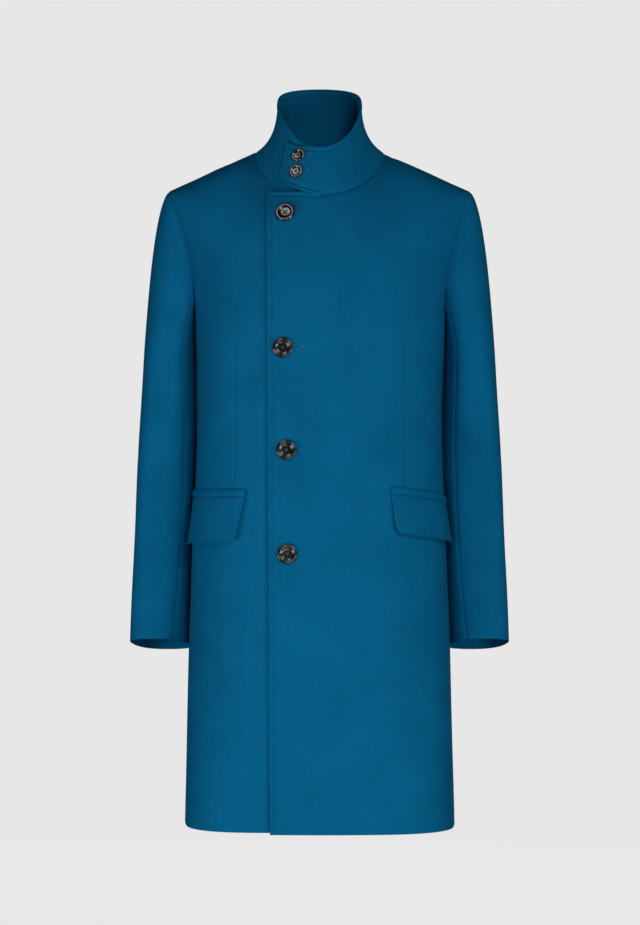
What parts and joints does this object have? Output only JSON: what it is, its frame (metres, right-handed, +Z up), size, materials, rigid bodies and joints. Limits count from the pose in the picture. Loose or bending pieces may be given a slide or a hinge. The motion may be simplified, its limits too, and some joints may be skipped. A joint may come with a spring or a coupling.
{
  "type": "stand collar coat",
  "caption": "Mid-length stand collar coat in teal felted wool, buttoned left over right, with a buttoned collar tab, flap pockets and set-in sleeves; hollow cloth walls, shaped as worn.",
  "frame": {"origin": "the middle of the neck's base, level with the two points where the shoulder seams meet the collar", "axes": "+Z up the wearer, from the hem to the collar; +X to the wearer's left; the front of the coat faces -Y"},
  "size_m": [0.537, 0.277, 1.0487],
  "materials": {
    "wool": "felted melton wool with a short, soft nap",
    "horn": "dark marbled horn-look buttons, polished"
  },
  "bodies": {
    "root": {"front_left": "wool", "front_right": "wool", "back": "wool", "sleeve_top_left": "wool", "sleeve_under_left": "wool", "sleeve_top_right": "wool", "sleeve_under_right": "wool", "collar": "wool", "pocket_welt_left": "wool", "pocket_flap_left": "wool", "pocket_welt_right": "wool", "pocket_flap_right": "wool", "front_button_1": "horn", "front_button_2": "horn", "front_button_3": "horn", "front_button_4": "horn", "collar_button_1": "horn", "collar_button_2": "horn"}
  },
  "joints": []
}
